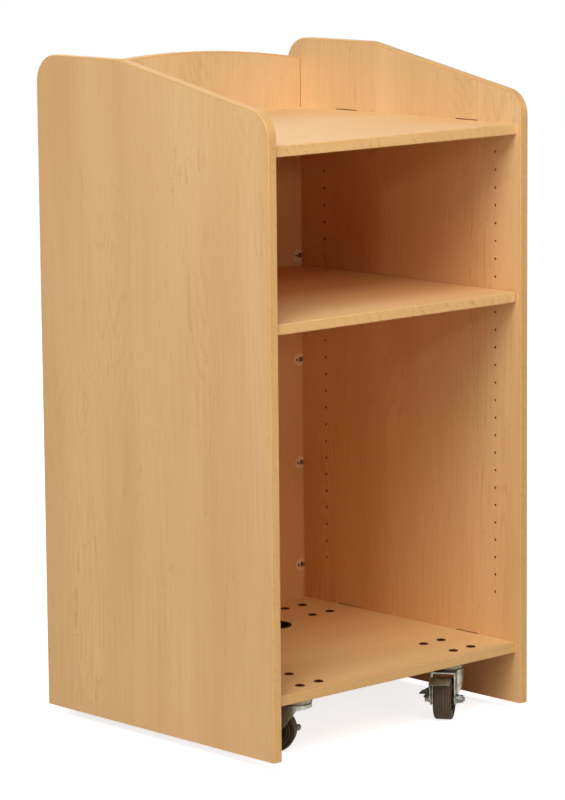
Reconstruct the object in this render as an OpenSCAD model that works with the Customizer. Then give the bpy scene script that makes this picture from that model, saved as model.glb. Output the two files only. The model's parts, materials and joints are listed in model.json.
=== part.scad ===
// Mobile lectern in laminated board: two winged side panels, an arched back panel, a desk,
// one adjustable shelf, a bottom shelf and four braked swivel casters.
// +Z is up, the floor is Z = 0, the open side faces -Y and the arched back panel faces +Y.
// The origin is on the floor, midway across the width and the depth.

/* [Cabinet] */
// Overall width across the side panels
body_w = 624; // [600:1:800]
// Depth of the side panels
body_d = 606; // [590:1:700]
// Height of the side panels at the rear
side_h = 1180; // [1150:1:1300]
// Gap between the panels and the floor
floor_gap = 15; // [8:1:30]
// Thickness of every board
board_t = 19; // [18:0.5:25]
// Thickness of the edge band
band_t = 3; // [1:0.5:4]
// Radius on the long edges of the band
band_r = 2; // [0.5:0.5:3]
// Level run of the sloped top edge of each side panel
slope_run = 382; // [300:1:480]
// Fall of the sloped edge towards the front
slope_drop = 77; // [40:1:110]
// Radius of the front top corner
front_corner_r = 47; // [20:1:70]
// Radius of the rear top corner
rear_corner_r = 50; // [20:1:70]

/* [Back panel] */
// Distance of the back panel inside the rear edges
back_recess = 18; // [4:1:40]
// Drop from the side panels' top to the ends of the arch
back_drop = 37; // [20:1:70]
// Rise of the arch at its middle
arch_rise = 24; // [8:1:36]

/* [Desk and shelves] */
// Desk surface below the side panels' top
desk_drop = 129.5; // [115:0.5:150]
// Height of the bottom shelf's surface above the floor
bottom_h = 127; // [127:0.5:150]
// Distance of the shelves behind the front edges
setback = 11; // [4:1:25]
// Number of hole rows below the one that carries the adjustable shelf
shelf_rows = 17; // [2:1:23]
// Clearance at each end of the adjustable shelf
shelf_end_gap = 1.5; // [1:0.5:3]
// Clearance behind the adjustable shelf
shelf_rear_gap = 2; // [1:0.5:6]

/* [Shelf holes] */
// Diameter of the shelf holes
hole_d = 5; // [4.6:0.1:6]
// Depth of the shelf holes
hole_depth = 12; // [10:0.5:15]
// Pitch of the shelf holes
hole_pitch = 32; // [25:1:32]
// Height of the lowest hole above the floor
hole_first = 212.5; // [180:0.5:220]
// Front hole column, from the side panel's front edge
hole_front = 62; // [50:1:90]
// Rear hole column, from the back panel
hole_rear = 63; // [40:1:90]
// Thickness of the shelf wires
wire_d = 4.6; // [3:0.1:4.6]
// Length of the shelf wires' ends in the holes
wire_grip = 10; // [6:0.5:10]

/* [Panel connectors] */
// Diameter of a connector housing
conn_d = 25; // [22:0.5:28]
// Depth of a connector housing
conn_depth = 14; // [13.5:0.1:15]
// Distance from a housing's centre to the joint
conn_edge = 9.5; // [8.5:0.25:10.5]
// Height of the lowest rear connector above the panels' lower edge
conn_first = 175; // [150:1:200]
// Number of rear connectors on each side
conn_rows = 5; // [3:1:5]
// First connector under a shelf, from the side panel's front edge
conn_front = 200; // [190:1:240]
// Second connector under a shelf, from the side panel's rear edge
conn_rear = 234; // [226:1:306]

/* [Support tongues] */
// Length of the slots in the side panels
slot_len = 56; // [52:1:70]
// Height of the slots above the shelf surface
slot_rise = 1.5; // [1:0.5:4]
// Length of a tongue
tongue_len = 50; // [30:1:50]
// Thickness of a tongue
tongue_t = 6; // [4:0.5:6]
// Reach of a tongue into each board
tongue_reach = 10; // [6:0.5:12]
// First slot's centre, from the side panel's front edge
slot_front = 133.5; // [110:0.5:150]
// Second slot's centre, from the side panel's rear edge
slot_rear = 160.5; // [146:0.5:176]

/* [Cord hole] */
// Inside diameter of the grommet
cord_d = 56; // [40:1:70]
// Wall of the grommet
cord_wall = 2; // [1.5:0.5:3]
// Width of the grommet's flange outside its wall
cord_flange = 3; // [2:0.5:5]
// Cord hole's place right of the middle
cord_x = 79; // [0:1:120]
// Cord hole's distance from the side panel's rear edge
cord_y = 182; // [156:1:226]

/* [Casters] */
// Diameter of the wheels
wheel_d = 75; // [70:0.5:75]
// Width of the tyres
wheel_w = 32; // [26:1:34]
// Distance of the axle behind the swivel axis
trail = 35; // [32:0.5:36]
// Front swivel axis, from the side panel's inner face
caster_front_x = 105; // [98:1:143]
// Rear swivel axis, from the side panel's inner face
caster_rear_x = 81; // [78:1:123]
// Front swivel axis, from the side panel's front edge
caster_front_y = 81; // [80:1:110]
// Rear swivel axis, from the side panel's rear edge
caster_rear_y = 131; // [126:1:166]
// Direction of the front left wheel's trail
angle_front_left = 128; // [0:1:359]
// Direction of the front right wheel's trail
angle_front_right = 216; // [0:1:359]
// Direction of the rear left wheel's trail
angle_rear_left = 160; // [0:1:359]
// Direction of the rear right wheel's trail
angle_rear_right = 40; // [0:1:359]
// Width of the top plates
plate_w = 60; // [58:1:70]
// Length of the top plates
plate_l = 92; // [90:1:100]
// Thickness of the plates and forks
sheet_t = 2.5; // [2:0.1:3]
// Spacing of the plate bolts across
bolt_x = 44.5; // [43:0.5:47]
// Spacing of the plate bolts lengthways
bolt_y = 75.5; // [74:0.5:80]
// Diameter of the caster bolts
bolt_d = 6.3; // [5:0.1:6.5]
// Diameter of the bolts' flat heads
bolt_head_d = 17; // [13:0.5:18]
// Diameter of the axle bolts
axle_d = 8; // [6:0.5:9]
// Swing of the brake lever at which the brake is on
brake_swing = 6; // [3:0.5:6]
// Gap between the brake shoe and the tyre
shoe_gap = 2.1; // [2.1:0.1:3]

/* [Hidden] */
$fn = 64;

// Colours
MAPLE = [0.87, 0.71, 0.50];
BAND = [0.84, 0.67, 0.44];
BEECH = [0.80, 0.62, 0.42];
ZINC = [0.70, 0.72, 0.72];
STEEL = [0.62, 0.62, 0.64];
BRONZE = [0.24, 0.12, 0.06];
IVORY = [0.78, 0.68, 0.56];
BLACK = [0.06, 0.06, 0.06];
TYRE = [0.29, 0.25, 0.22];
HUB = [0.22, 0.20, 0.19];

// Clearances
play = 0.1;
run_play = 0.06;
slide_play = 0.3;
seam = 0.02;

// Cabinet planes
front = -body_d / 2;
rear = body_d / 2;
low = floor_gap;
top = floor_gap + side_h;
inner = body_w / 2 - board_t;
back_face = rear - back_recess - board_t;
desk_h = top - desk_drop;
function from_front(v) = front + v;
function from_rear(v) = rear - v;

// Edge band
band_round = min(band_r, band_t);

// Side panel outline inside its band, in depth and height from the rear top corner
slope_a = atan2(slope_drop, slope_run);
front_core_r = front_corner_r - band_t;
rear_core_r = rear_corner_r - band_t;
front_c = [
    front_corner_r - body_d,
    front_corner_r * (tan(slope_a) - 1 / cos(slope_a)) - slope_drop
];
kink = [slope_run - body_d + band_t * tan(slope_a / 2), -band_t];
slope_start = front_c + front_core_r * [-sin(slope_a), cos(slope_a)];
core_corner = [band_t - body_d, kink[1] - (kink[0] - band_t + body_d) * tan(slope_a)];

// Arch of the back panel
arch_end = top - back_drop;
arch_r = (inner * inner + arch_rise * arch_rise) / (2 * arch_rise);
arch_c = arch_end + arch_rise - arch_r;
arch_a = asin(inner / (arch_r - band_t)) + 1;

// Adjustable shelf, its wires and its kerfs
hole_rows = floor((desk_h - board_t - hole_first) / hole_pitch);
hole_z = hole_first + shelf_rows * hole_pitch;
hole_y = [from_front(hole_front), back_face - hole_rear];
shelf_half = inner - shelf_end_gap;
wire_bend = 3;
wire_x = inner - wire_bend;
kerf_x = wire_x - wire_d / 2 - slide_play;
kerf_low = wire_d / 2 + 0.5;
kerf_high = wire_d / 2 + slide_play;

// Panel connectors
conn_pitch = (side_h - back_drop - 2 * conn_first) / (conn_rows - 1);
conn_axis = board_t / 2;
conn_neck_r = 1.8;
conn_head_r = 3.3;
conn_grip = 11;
conn_thread_r = 2.5;
conn_cavity = conn_edge - 10;
conn_cavity_w = 9;
conn_screw_x = conn_edge - 14.5;
conn_screw_r = 2.5;

// Support tongues
slot_drop = 12;
slot_depth = tongue_reach + 0.5;

// Grommet
cord_pos = [cord_x, from_rear(cord_y)];
cord_hole_r = cord_d / 2 + cord_wall + play;
cord_flange_t = 1.5;

// Caster heights above the floor
wheel_r = wheel_d / 2;
plate_z = bottom_h - board_t;
crown_z = wheel_d + 9.5;
race_z = crown_z + sheet_t + 5;
ball_d = 5.5;
ceiling_z = race_z + ball_d + play;
skirt_z = crown_z + 4.6;

// Caster fork, its axle and brake, measured from the swivel axis
leg_in = wheel_w / 2 + 3;
leg_out = leg_in + sheet_t;
leg_eye_r = 11;
leg_front = trail + leg_eye_r - 0.5;
crown_r = 30;
crown_join = sqrt(crown_r * crown_r - leg_out * leg_out);
axle_r = axle_d / 2;
sleeve_r = axle_r + 2.2;
hub_r = 27;
king_r = 6;
king_head_r = 10;
race_in_r = 17;
race_out_r = 25;
ball_ring_r = (race_in_r + race_out_r) / 2;
ball_count = 20;
skirt_in_r = 27.5;
skirt_out_r = 31;
pivot = [24, wheel_r + 12.5];
pivot_r = 2.5;
arm_in = leg_out + 0.5;
arm_out = arm_in + sheet_t;
shoe_in_r = wheel_r + shoe_gap;
shoe_side = wheel_w / 2 - 2;
shoe_low = 47;
shoe_high = 72;
head_t = 2;
nut_t = 5.5;
axle_head_t = 9.5;
axle_nut_t = 12.5;
tab_reach = 14;
rear_tab = [50, wheel_r + 15.5];
front_tab = [1, wheel_r - 2.5];

// Order of the casters: front left, front right, rear left, rear right
caster_pos = [
    [caster_front_x - inner, from_front(caster_front_y)],
    [inner - caster_front_x, from_front(caster_front_y)],
    [caster_rear_x - inner, from_rear(caster_rear_y)],
    [inner - caster_rear_x, from_rear(caster_rear_y)]
];
caster_turn = [angle_front_left, angle_front_right, angle_rear_left, angle_rear_right];

// Placing

module both_sides() {
    children();
    mirror([1, 0, 0]) children();
}

module at_rear_connectors() {
    for (k = [0:conn_rows - 1])
        translate([inner - conn_edge, back_face, low + conn_first + k * conn_pitch])
            rotate([90, 0, 0]) children();
}

module at_shelf_connectors(surface) {
    for (y = [from_front(conn_front), from_rear(conn_rear)])
        translate([inner - conn_edge, y, surface - board_t])
            rotate([180, 0, 0]) children();
}

module at_connectors() {
    both_sides() {
        at_rear_connectors() children();
        at_shelf_connectors(desk_h) children();
        at_shelf_connectors(bottom_h) children();
    }
}

module at_slots(surface) {
    for (y = [from_front(slot_front), from_rear(slot_rear)])
        translate([inner, y, surface]) children();
}

module at_plate_bolts() {
    for (pos = caster_pos, sx = [-1, 1], sy = [-1, 1])
        translate([pos[0] + sx * bolt_x / 2, pos[1] + sy * bolt_y / 2, 0]) children();
}

module at_caster(i) {
    translate([caster_pos[i][0], caster_pos[i][1], 0]) children();
}

module at_swivel(i) {
    at_caster(i) rotate([0, 0, caster_turn[i]]) children();
}

// Moves a piece drawn round Z onto the wheel's axle, along Y
module on_axle() {
    translate([trail, 0, wheel_r]) rotate([-90, 0, 0]) children();
}

// Edge band

module section_corner() {
    translate([band_t - band_round, board_t / 2 - band_round]) difference() {
        square(2 * band_round);
        circle(band_round);
    }
}

// Section of the band: x is its thickness outwards, y runs across the board
module band_section() {
    difference() {
        translate([0, -board_t / 2]) square([band_t, board_t]);
        section_corner();
        mirror([0, 1]) section_corner();
    }
}

// Straight band along Z, with its outside towards +X. Its children go on from its end.
module band_run(l) {
    linear_extrude(l) band_section();
    translate([0, 0, l]) children();
}

// Band that turns through a round a core of radius r. Its children go on after a fine seam.
module band_bend(r, a) {
    translate([-r, 0, 0]) {
        rotate([90, 0, 0]) rotate_extrude(angle = a, $fn = 96) translate([r, 0]) band_section();
        rotate([0, -a, 0]) translate([r, 0, seam]) children();
    }
}

module front_band(half, surface) {
    color(BAND) translate([-half, from_front(setback + band_t), surface - board_t / 2])
        rotate([90, 0, 90]) linear_extrude(2 * half) mirror([1, 0]) band_section();
}

// Boards

// What the round front corner takes off the sharp outline
module front_corner_cut() {
    difference() {
        polygon([
            [core_corner[0] - 1, front_c[1]],
            front_c,
            slope_start,
            slope_start + [-sin(slope_a), cos(slope_a)],
            core_corner + [-1, 1]
        ]);
        translate(front_c) circle(front_core_r);
    }
}

module rear_corner_cut() {
    translate([-rear_corner_r, -rear_corner_r]) difference() {
        square(rear_corner_r);
        circle(rear_core_r);
    }
}

module side_outline() {
    $fn = 96;
    difference() {
        polygon([
            [core_corner[0], -side_h],
            core_corner,
            kink,
            [-band_t, -band_t],
            [-band_t, -side_h]
        ]);
        front_corner_cut();
        rear_corner_cut();
    }
}

module shelf_holes() {
    for (y = hole_y, k = [0:hole_rows - 1])
        translate([inner - 1, y, hole_first + k * hole_pitch])
            rotate([0, 90, 0]) cylinder(h = hole_depth + 1, d = hole_d);
}

module side_slots() {
    for (surface = [desk_h, bottom_h])
        at_slots(surface)
            translate([-1, -slot_len / 2, -slot_drop])
            cube([slot_depth + 1, slot_len, slot_drop + slot_rise]);
}

module connector_drillings() {
    at_rear_connectors() bolt_drilling();
    at_shelf_connectors(desk_h) bolt_drilling();
    at_shelf_connectors(bottom_h) bolt_drilling();
}

module bolt_drilling() {
    translate([conn_edge - 1, 0, -conn_axis])
        rotate([0, 90, 0]) cylinder(h = conn_grip + 1.5, r = conn_thread_r);
}

module side_panel() {
    color(MAPLE) difference() {
        translate([inner, rear, top]) rotate([90, 0, 90]) linear_extrude(board_t) side_outline();
        shelf_holes();
        side_slots();
        connector_drillings();
    }
}

// One strip: up the front, round its corner, up the slope, along the top and down the rear
module side_band() {
    front_l = side_h + front_c[1];
    color(BAND) translate([inner + board_t / 2, front + band_t, top]) rotate([0, 0, -90])
        translate([0, 0, front_c[1]]) {
            translate([0, 0, -front_l]) band_run(front_l);
            band_bend(front_core_r, 90 - slope_a)
                band_run(norm(kink - slope_start))
                band_bend(0, slope_a)
                band_run(-rear_corner_r - kink[0])
                band_bend(rear_core_r, 90)
                band_run(side_h - rear_corner_r);
        }
}

module back_outline() {
    intersection() {
        translate([-inner, low]) square([2 * inner, top - low]);
        translate([0, arch_c]) circle(arch_r - band_t, $fn = 720);
    }
}

module back_panel() {
    color(MAPLE) difference() {
        translate([0, back_face + board_t, 0]) rotate([90, 0, 0])
            linear_extrude(board_t) back_outline();
        both_sides() at_rear_connectors() connector_pocket();
    }
}

module back_band() {
    color(BAND) intersection() {
        translate([0, back_face + board_t / 2, arch_c]) rotate([90, 0, 0])
            rotate([0, 0, 90 - arch_a])
            rotate_extrude(angle = 2 * arch_a, $fn = 720)
            translate([arch_r - band_t, 0]) band_section();
        translate([-inner, back_face - 1, low]) cube([2 * inner, board_t + 2, side_h]);
    }
}

// Board between the side panels, behind its front band
module level_board(half, surface, back_y) {
    y = from_front(setback + band_t);
    translate([-half, y, surface - board_t]) cube([2 * half, back_y - y, board_t]);
}

module tongue_mortises(surface) {
    both_sides() at_slots(surface)
        translate([-slot_depth, -tongue_len / 2 - play, -slot_drop])
        cube([slot_depth + 1, tongue_len + 2 * play, tongue_t + play]);
}

module fixed_board(surface) {
    difference() {
        level_board(inner, surface, back_face);
        tongue_mortises(surface);
        both_sides() at_shelf_connectors(surface) connector_pocket();
    }
}

module desk_top() {
    color(MAPLE) fixed_board(desk_h);
}

module bottom_shelf() {
    color(MAPLE) difference() {
        fixed_board(bottom_h);
        at_plate_bolts() {
            translate([0, 0, bottom_h - board_t - 1]) cylinder(h = board_t + 2, d = bolt_d + 2 * play);
            translate([0, 0, bottom_h - head_t]) cylinder(h = head_t + 1, d = bolt_head_d + 2 * play);
        }
        translate([cord_pos[0], cord_pos[1], bottom_h - board_t - 1])
            cylinder(h = board_t + 2, r = cord_hole_r);
    }
}

module adjustable_shelf() {
    kerf_y = hole_y[0] - wire_d / 2 - slide_play;
    color(MAPLE) difference() {
        level_board(shelf_half, hole_z + board_t / 2, back_face - shelf_rear_gap);
        both_sides()
            translate([kerf_x, kerf_y, hole_z - kerf_low])
            cube([board_t, body_d, kerf_low + kerf_high]);
    }
}

// Wires and tongues

module wire_corner() {
    rotate_extrude(angle = 90) translate([wire_bend, 0]) circle(d = wire_d);
}

module shelf_wire() {
    for (y = hole_y)
        translate([inner, y, hole_z]) rotate([0, 90, 0]) cylinder(h = wire_grip, d = wire_d);
    translate([inner, hole_y[0] + wire_bend, hole_z]) rotate([0, 0, 180]) wire_corner();
    translate([inner, hole_y[1] - wire_bend, hole_z]) rotate([0, 0, 90]) wire_corner();
    translate([wire_x, hole_y[0] + wire_bend, hole_z]) rotate([-90, 0, 0])
        cylinder(h = hole_y[1] - hole_y[0] - 2 * wire_bend, d = wire_d);
}

module shelf_wires() {
    color(STEEL) both_sides() shelf_wire();
}

module support_tongues() {
    color(BEECH) both_sides()
        for (surface = [desk_h, bottom_h])
            at_slots(surface)
                translate([-tongue_reach, -tongue_len / 2, -slot_drop])
                cube([2 * tongue_reach, tongue_len, tongue_t]);
}

// Panel connectors, drawn with the board's face at Z = 0 and the joint at +X

module connector_pocket() {
    translate([0, 0, -conn_depth]) cylinder(h = conn_depth + 1, d = conn_d);
}

module connector_housing() {
    difference() {
        translate([0, 0, play - conn_depth]) cylinder(h = conn_depth - play, d = conn_d - 2 * play);
        translate([conn_edge, -conn_d, -2 * conn_depth]) cube([conn_d, 2 * conn_d, 4 * conn_depth]);
        translate([conn_cavity, -conn_cavity_w / 2, 1 - conn_depth])
            cube([conn_d, conn_cavity_w, conn_depth]);
        translate([conn_screw_x, 0, 1 - conn_depth])
            cylinder(h = conn_depth, r = conn_screw_r);
    }
}

module connector_clamp() {
    x = conn_cavity + 3.6;
    difference() {
        translate([x, -conn_cavity_w / 2, 1 - conn_depth])
            cube([2.6, conn_cavity_w, conn_depth - 4.5]);
        translate([x - 1, -conn_neck_r - play, -conn_depth])
            cube([5, 2 * (conn_neck_r + play), conn_depth - conn_axis + conn_neck_r + play]);
    }
}

module connector_screw() {
    difference() {
        translate([conn_screw_x, 0, 1 - conn_depth])
            cylinder(h = conn_depth - 2.2, r = conn_screw_r - play);
        for (a = [0, 90])
            translate([conn_screw_x, 0, -1.2]) rotate([0, 0, a])
                translate([-1.7, -0.4, -1.4]) cube([3.4, 0.8, 3]);
    }
}

module connector_bolt() {
    translate([conn_cavity + 0.4, 0, -conn_axis]) rotate([0, 90, 0]) {
        cylinder(h = 2.8, r = conn_head_r);
        cylinder(h = conn_edge - conn_cavity, r = conn_neck_r);
    }
    translate([conn_edge, 0, -conn_axis]) rotate([0, 90, 0])
        cylinder(h = conn_grip, r = conn_thread_r);
}

module connector_housings() {
    color(IVORY) at_connectors() connector_housing();
}

module connector_clamps() {
    color(ZINC) at_connectors() connector_clamp();
}

module connector_screws() {
    color(STEEL) at_connectors() connector_screw();
}

module connector_bolts() {
    color(STEEL) at_connectors() connector_bolt();
}

// Cord grommet

module cord_grommet() {
    bore_r = cord_d / 2;
    color(BLACK) translate([cord_pos[0], cord_pos[1], bottom_h - board_t])
        rotate_extrude() {
            translate([bore_r, 0]) square([cord_wall, board_t + cord_flange_t]);
            translate([bore_r, board_t]) square([cord_wall + cord_flange, cord_flange_t]);
        }
}

// Caster bolts and nuts

module caster_bolt() {
    difference() {
        translate([0, 0, bottom_h - head_t]) cylinder(h = head_t, d = bolt_head_d);
        translate([0, 0, bottom_h - 1.5]) cylinder(h = 2, r = 2.4, $fn = 6);
    }
    translate([0, 0, plate_z - sheet_t - nut_t - 1.5])
        cylinder(h = board_t + sheet_t + nut_t + 1.5 - head_t, d = bolt_d);
}

module caster_bolts() {
    color(BRONZE) at_plate_bolts() caster_bolt();
}

module caster_nuts() {
    color(ZINC) at_plate_bolts()
        translate([0, 0, plate_z - sheet_t - nut_t]) difference() {
            cylinder(h = nut_t, r = 6.4, $fn = 6);
            translate([0, 0, -1]) cylinder(h = nut_t + 2, d = bolt_d + 2 * play);
        }
}

// Casters, drawn with the swivel axis on Z and the wheel trailing towards +X

module kingpins() {
    color(STEEL) for (i = [0:3]) at_caster(i) {
        translate([0, 0, crown_z - slide_play - 3]) cylinder(h = 3, r = king_head_r);
        translate([0, 0, crown_z - slide_play - 3])
            cylinder(h = plate_z - sheet_t - crown_z + slide_play + 3, r = king_r);
    }
}

module raceway_balls() {
    color(STEEL) for (i = [0:3], k = [0:ball_count - 1])
        at_caster(i)
            rotate([0, 0, k * 360 / ball_count])
            translate([ball_ring_r, 0, race_z + (ball_d + play) / 2])
            sphere(d = ball_d, $fn = 24);
}

module plate_slots() {
    for (sx = [-1, 1], sy = [-1, 1])
        translate([sx * bolt_x / 2, sy * bolt_y / 2, plate_z - sheet_t - 1]) {
            for (s = [-1.5, 1.5]) translate([s, 0, 0]) cylinder(h = sheet_t + 2, d = bolt_d + 1);
            translate([-1.5, -bolt_d / 2 - 0.5, 0]) cube([3, bolt_d + 1, sheet_t + 2]);
        }
}

module plate_outline() {
    r = 6;
    square([plate_w - 2 * r, plate_l], center = true);
    square([plate_w, plate_l - 2 * r], center = true);
    for (sx = [-1, 1], sy = [-1, 1])
        translate([sx * (plate_w / 2 - r), sy * (plate_l / 2 - r)]) circle(r);
}

module caster_plate(i) {
    color(ZINC) at_caster(i) difference() {
        union() {
            translate([0, 0, plate_z - sheet_t]) linear_extrude(sheet_t) plate_outline();
            rotate_extrude() polygon([
                [king_r + run_play, ceiling_z],
                [skirt_in_r, ceiling_z],
                [skirt_in_r, skirt_z],
                [skirt_out_r, skirt_z],
                [skirt_out_r, ceiling_z + 2],
                [race_out_r, ceiling_z + 7],
                [race_out_r, plate_z - sheet_t],
                [king_r + run_play, plate_z - sheet_t]
            ]);
        }
        plate_slots();
    }
}

// Plan of the fork: a round crown, and two legs that run forward to the axle
module fork_plan(r, half, reach) {
    circle(r);
    translate([0, -half]) square([reach, 2 * half]);
}

// Side view of the fork, in trail and height, with the lower edge of its cup at the back
module fork_side(edge) {
    polygon(concat([
        [-crown_r - 1, crown_z + sheet_t + 1],
        [leg_front, crown_z + sheet_t + 1],
        [leg_front, wheel_r],
        [trail, wheel_r - leg_eye_r + 0.5],
        [trail - leg_eye_r + 0.5, wheel_r]
    ], edge, [
        [-8, crown_z - 6],
        [-crown_r - 1, crown_z - 4]
    ]));
    translate([trail, wheel_r]) circle(leg_eye_r);
}

// One sheet pressed into a cup with two legs, cut back on the brake side for the lever
module fork_body() {
    intersection() {
        difference() {
            linear_extrude(crown_z + sheet_t) fork_plan(crown_r, leg_out, leg_front);
            translate([0, 0, -1])
                linear_extrude(crown_z + 1) fork_plan(crown_r - sheet_t, leg_in, leg_front + 1);
        }
        rotate([90, 0, 0]) union() {
            linear_extrude(crown_r + 1) fork_side([
                [crown_join + 0.3, wheel_r + 4],
                [crown_join + 0.3, crown_z - 22],
                [0, crown_z - 16]
            ]);
            translate([0, 0, -crown_r - 1]) linear_extrude(crown_r + 3) fork_side([
                [trail - 23, wheel_r + 15],
                [0, crown_z - 16]
            ]);
        }
    }
    translate([0, 0, crown_z + 1]) cylinder(h = race_z - crown_z - 1, r = race_out_r);
}

module fork(i) {
    color(ZINC) at_swivel(i) difference() {
        fork_body();
        translate([0, 0, crown_z - 1]) cylinder(h = race_z - crown_z + 2, r = king_r + run_play);
        on_axle() translate([0, 0, -leg_out - 1]) cylinder(h = 2 * leg_out + 2, r = axle_r + play);
        translate([pivot[0], 1 - leg_in, pivot[1]]) rotate([90, 0, 0])
            cylinder(h = leg_out, r = pivot_r);
    }
}

// Hexagon with a flange under it, standing on Z = 0
module flanged_hexagon(flange, height) {
    cylinder(h = flange, r = 8.5);
    translate([0, 0, flange]) cylinder(h = height - flange, r = 7.5, $fn = 6);
}

// Bolt with its head on the brake side, and its nut on the other
module axle_bolt(i) {
    head_z = arm_out + 0.8;
    color(ZINC) at_swivel(i) on_axle() {
        translate([0, 0, -head_z]) mirror([0, 0, 1]) flanged_hexagon(2.5, axle_head_t);
        translate([0, 0, -head_z]) cylinder(h = head_z + leg_out + axle_nut_t + 3, r = axle_r);
        translate([0, 0, leg_out]) difference() {
            flanged_hexagon(4.5, axle_nut_t);
            translate([0, 0, -1]) cylinder(h = axle_nut_t + 2, r = axle_r + play);
        }
    }
}

module axle_sleeve(i) {
    color(STEEL) at_swivel(i) on_axle() difference() {
        translate([0, 0, -leg_in]) cylinder(h = 2 * leg_in, r = sleeve_r);
        translate([0, 0, -leg_in - 1]) cylinder(h = 2 * leg_in + 2, r = axle_r + play);
    }
}

module wheel_hub(i) {
    rim = wheel_w / 2 - 1.5;
    color(HUB) at_swivel(i) on_axle() rotate_extrude() {
        translate([sleeve_r + run_play, -leg_in + 1]) square([5, 2 * leg_in - 2]);
        translate([sleeve_r + run_play, -rim + 4]) square([hub_r - sleeve_r - run_play, 2 * rim - 8]);
        translate([hub_r - 5, -rim]) square([5, 2 * rim]);
    }
}

module tyre(i) {
    r = 4;
    half = wheel_w / 2;
    color(TYRE) at_swivel(i) on_axle() rotate_extrude($fn = 96) {
        translate([hub_r, -half]) square([wheel_r - r - hub_r, wheel_w]);
        translate([hub_r, r - half]) square([wheel_r - hub_r, wheel_w - 2 * r]);
        for (s = [-1, 1]) translate([wheel_r - r, s * (half - r)]) circle(r);
    }
}

// Side view of the lever's arm: tab, axle eye, tab and the stem of the shoe
module arm_side() {
    polygon([
        front_tab + [-5, 2.5],
        front_tab + [-5, -4],
        [trail - 12, wheel_r - 11],
        [trail + 8, wheel_r - 11],
        rear_tab + [5, -6],
        rear_tab + [5, 2],
        [trail, wheel_r] + (shoe_in_r + 1.5) * [cos(shoe_low + 1), sin(shoe_low + 1)],
        [trail, wheel_r] + (shoe_in_r + 1) * [cos(shoe_low + 14), sin(shoe_low + 14)],
        [trail + 5, wheel_r + 27],
        pivot + [-3, 7],
        pivot + [-8, -1]
    ]);
}

module brake_shoe() {
    on_axle() rotate([0, 0, -shoe_high])
        rotate_extrude(angle = shoe_high - shoe_low, $fn = 96)
        translate([shoe_in_r, 1 - arm_out]) square([sheet_t, arm_out - 1 + shoe_side]);
}

module lever_tongue(at) {
    translate([at[0] - 4, -arm_out - tab_reach, at[1] - sheet_t / 2])
        cube([8, tab_reach + 1, sheet_t]);
}

module brake_lever(i) {
    color(ZINC) at_swivel(i) difference() {
        union() {
            translate([0, -arm_in, 0]) rotate([90, 0, 0]) linear_extrude(sheet_t) arm_side();
            brake_shoe();
            lever_tongue(rear_tab);
            lever_tongue(front_tab);
        }
        on_axle() translate([0, 0, -arm_out - 1]) cylinder(h = sheet_t + 2, r = axle_r + 3);
        translate([pivot[0], 1 - arm_in, pivot[1]]) rotate([90, 0, 0])
            cylinder(h = sheet_t + 2, r = pivot_r + run_play);
    }
}

// Cap on a tab: high at the arm, low and thin at its tip, with a pocket for the tongue
module tab_cap(at) {
    tip = -arm_out - tab_reach - 4;
    difference() {
        translate([at[0] - 5.5, 0, at[1]]) rotate([90, 0, 90]) linear_extrude(11) polygon([
            [-arm_out - 0.4, -4],
            [-arm_out - 0.4, 6],
            [-arm_out - 4, 6],
            [tip, -2.5],
            [tip, -4]
        ]);
        lever_tongue(at);
    }
}

module brake_tabs(i) {
    color(BLACK) at_swivel(i) {
        tab_cap(rear_tab);
        tab_cap(front_tab);
    }
}

module brake_rivet(i) {
    color(STEEL) at_swivel(i)
        translate([pivot[0], -leg_in, pivot[1]]) rotate([90, 0, 0]) {
            cylinder(h = arm_out - leg_in + 0.3, r = pivot_r);
            translate([0, 0, arm_out - leg_in + 0.3]) cylinder(h = 1.6, r = 4.5);
        }
}

mirror([1, 0, 0]) side_panel();  // side_panel_left
side_panel();  // side_panel_right
mirror([1, 0, 0]) side_band();  // side_band_left
side_band();  // side_band_right
back_panel();
back_band();
desk_top();
front_band(inner, desk_h);  // desk_band
bottom_shelf();
front_band(inner, bottom_h);  // bottom_band
adjustable_shelf();
front_band(shelf_half, hole_z + board_t / 2);  // shelf_band
shelf_wires();
support_tongues();
connector_housings();
connector_clamps();
connector_screws();
connector_bolts();
cord_grommet();
caster_bolts();
caster_nuts();
kingpins();
raceway_balls();
caster_plate(0);  // caster_plate_front_left
caster_plate(1);  // caster_plate_front_right
caster_plate(2);  // caster_plate_rear_left
caster_plate(3);  // caster_plate_rear_right
fork(0);  // fork_front_left
fork(1);  // fork_front_right
fork(2);  // fork_rear_left
fork(3);  // fork_rear_right
axle_bolt(0);  // axle_bolt_front_left
axle_bolt(1);  // axle_bolt_front_right
axle_bolt(2);  // axle_bolt_rear_left
axle_bolt(3);  // axle_bolt_rear_right
axle_sleeve(0);  // axle_sleeve_front_left
axle_sleeve(1);  // axle_sleeve_front_right
axle_sleeve(2);  // axle_sleeve_rear_left
axle_sleeve(3);  // axle_sleeve_rear_right
wheel_hub(0);  // wheel_hub_front_left
wheel_hub(1);  // wheel_hub_front_right
wheel_hub(2);  // wheel_hub_rear_left
wheel_hub(3);  // wheel_hub_rear_right
tyre(0);  // tyre_front_left
tyre(1);  // tyre_front_right
tyre(2);  // tyre_rear_left
tyre(3);  // tyre_rear_right
brake_lever(0);  // brake_lever_front_left
brake_lever(1);  // brake_lever_front_right
brake_lever(2);  // brake_lever_rear_left
brake_lever(3);  // brake_lever_rear_right
brake_tabs(0);  // brake_tabs_front_left
brake_tabs(1);  // brake_tabs_front_right
brake_tabs(2);  // brake_tabs_rear_left
brake_tabs(3);  // brake_tabs_rear_right
brake_rivet(0);  // brake_rivet_front_left
brake_rivet(1);  // brake_rivet_front_right
brake_rivet(2);  // brake_rivet_rear_left
brake_rivet(3);  // brake_rivet_rear_right
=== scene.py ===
"""Dressed model of the mobile lectern: materials, fittings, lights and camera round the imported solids."""

import json
import math

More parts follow.
